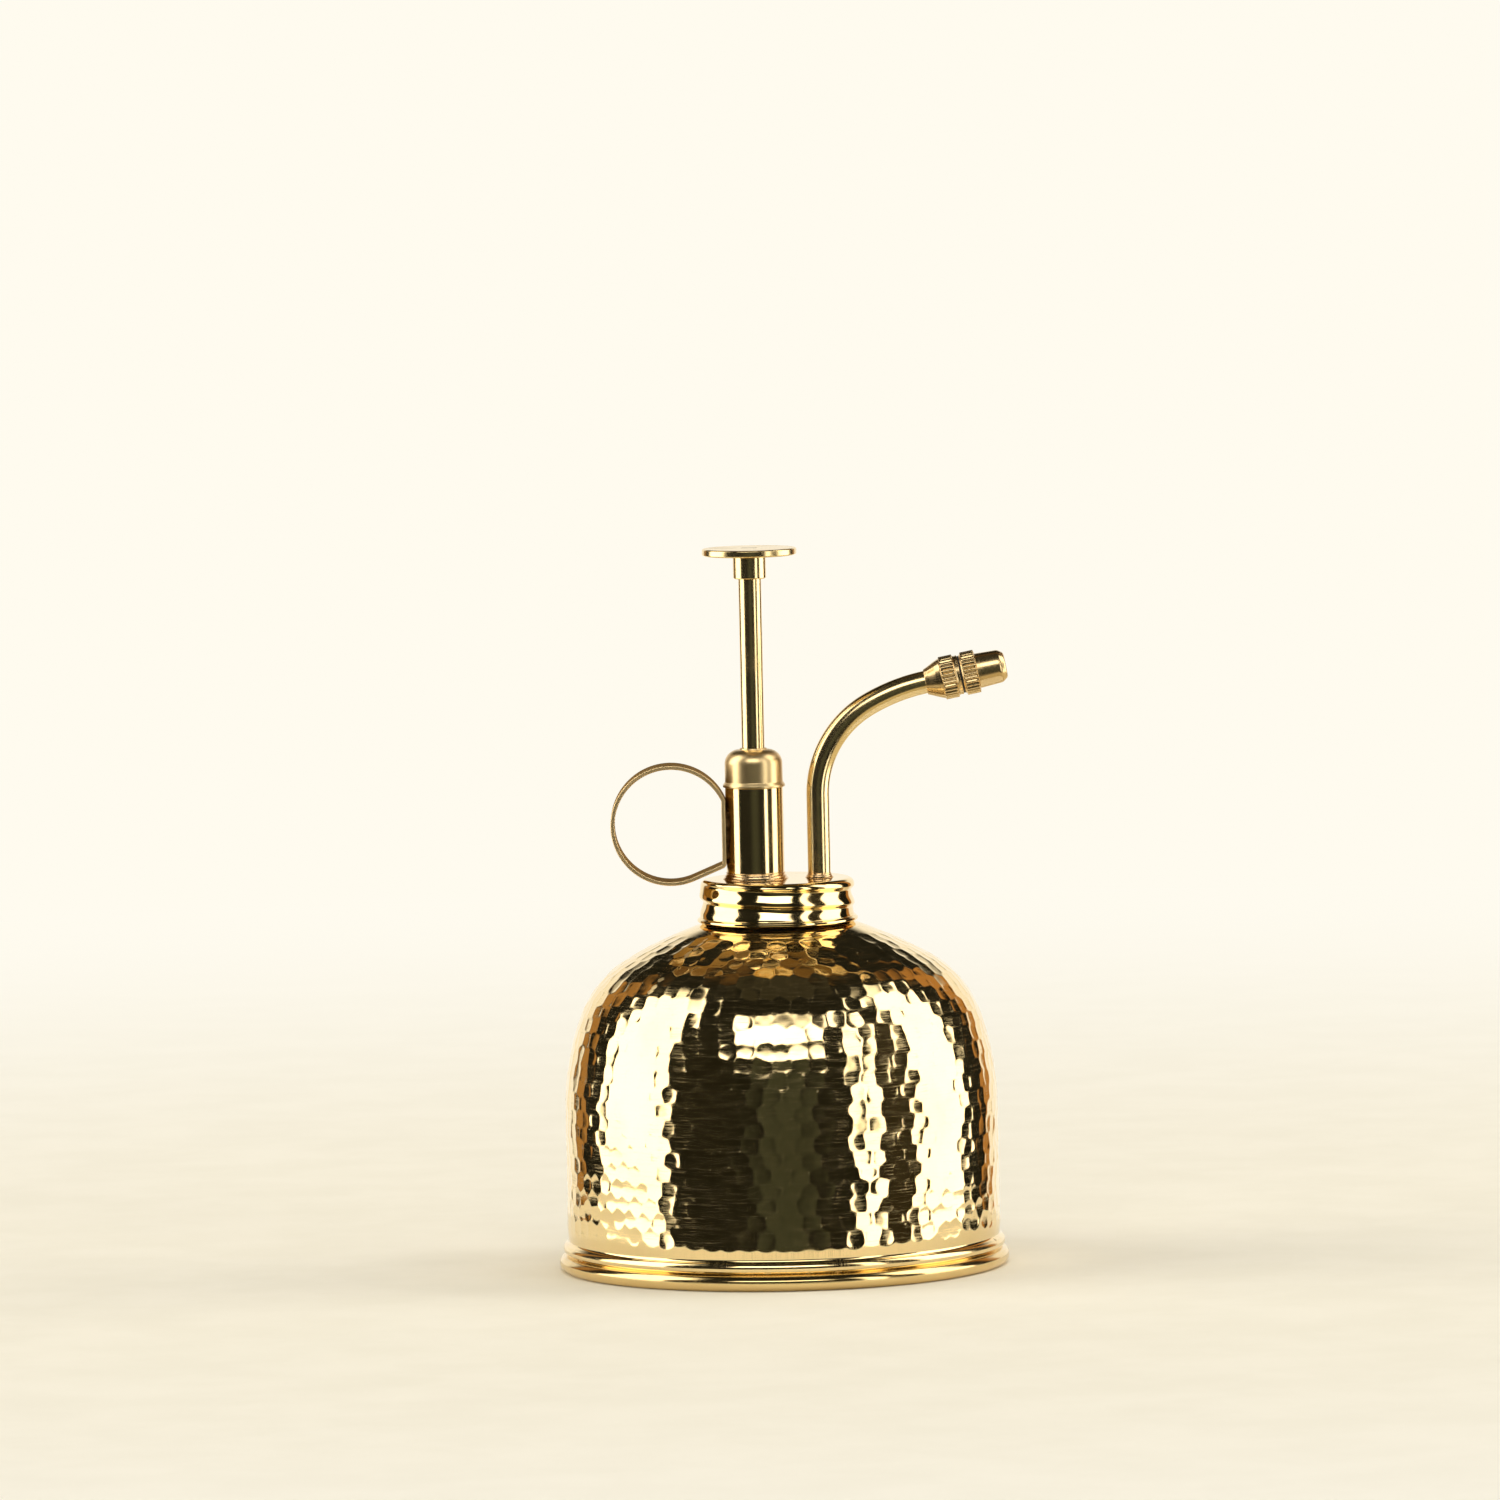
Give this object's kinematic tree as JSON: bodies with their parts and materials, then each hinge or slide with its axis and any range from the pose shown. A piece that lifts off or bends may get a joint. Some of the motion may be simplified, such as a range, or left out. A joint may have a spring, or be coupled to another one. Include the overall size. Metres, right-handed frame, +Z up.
{
  "type": "hand mister",
  "caption": "Hammered dome reservoir with a screw-on pump head: thumb plunger, flat-strip finger ring and a bent spout with an adjustable knurled nozzle.",
  "frame": {"origin": "centre of the flat base, on the surface that the mister stands on", "axes": "+Z up along the reservoir's axis, +X towards the spout, and the finger ring on the -X side"},
  "size_m": [0.1009, 0.0988, 0.158],
  "materials": {
    "hammered_brass": "hammered and polished to a mirror",
    "polished_brass": "mirror polished",
    "turned_brass": "turned and polished, with fine tool marks",
    "plain_brass": "as machined, satin",
    "solder": "flowed solder, satin",
    "steel": "plain stainless",
    "black_rubber": "matte",
    "white_plastic": "translucent-looking white, smooth"
  },
  "bodies": {
    "reservoir": {"base_pan": "polished_brass", "reservoir_shell": "hammered_brass", "neck_ring": "plain_brass"},
    "gasket": {"cap_gasket": "black_rubber"},
    "plunger": {"plunger_rod": "polished_brass", "thumb_boss": "turned_brass", "thumb_disc": "turned_brass", "piston": "plain_brass", "piston_seal": "black_rubber"},
    "nozzle_washer": {"nozzle_seal": "black_rubber"},
    "spray_cap": {"nozzle_cap": "turned_brass"},
    "inlet_valve_ball": {"inlet_ball": "steel"},
    "outlet_valve_ball": {"outlet_ball": "steel"},
    "head": {"screw_cap": "polished_brass", "pump_barrel": "polished_brass", "barrel_solder_ring": "solder", "gland_cap": "turned_brass", "gland_packing": "black_rubber", "gland_bush": "plain_brass", "return_spring": "steel", "spring_seat": "plain_brass", "foot_valve_body": "plain_brass", "inlet_stop_pin": "steel", "dip_tube": "white_plastic", "strainer": "white_plastic", "delivery_pipe": "plain_brass", "outlet_valve_body": "plain_brass", "outlet_stop_pin": "steel", "spout_tube": "polished_brass", "spout_solder_ring": "solder", "finger_ring": "polished_brass", "ring_solder": "solder", "nozzle_body": "turned_brass", "swirl_core": "plain_brass"}
  },
  "joints": [
    {"name": "head_lift", "type": "slide", "parent": "reservoir", "child": "gasket", "axis": [0, 0, 1], "range_m": [0, 0.085]},
    {"name": "head_turn", "type": "hinge", "parent": "gasket", "child": "head", "pos_m": [0, 0, 0.084], "axis": [0, 0, 1], "range_deg": [0, 540]},
    {"name": "plunge", "type": "slide", "parent": "head", "child": "plunger", "axis": [0, 0, -1], "range_m": [0, 0.03], "stiffness_N_per_m": 200, "springref_m": -0.01, "deforming": ["return_spring"]},
    {"name": "nozzle_advance", "type": "slide", "parent": "head", "child": "nozzle_washer", "axis": [0.9816, 0, 0.1908], "range_m": [0, 0.00112]},
    {"name": "nozzle_turn", "type": "hinge", "parent": "nozzle_washer", "child": "spray_cap", "pos_m": [0.03341, 0, 0.12778], "axis": [0.9816, 0, 0.1908], "range_deg": [0, 540]},
    {"name": "inlet_ball_lift", "type": "slide", "parent": "head", "child": "inlet_valve_ball", "axis": [0, 0, 1], "range_m": [0, 0.0011]},
    {"name": "outlet_ball_lift", "type": "slide", "parent": "head", "child": "outlet_valve_ball", "axis": [0, 0, 1], "range_m": [0, 0.0004]}
  ],
  "couplings": [
    {"joint": "nozzle_turn", "follows": "nozzle_advance", "rad_per_m": 8377.6}
  ]
}
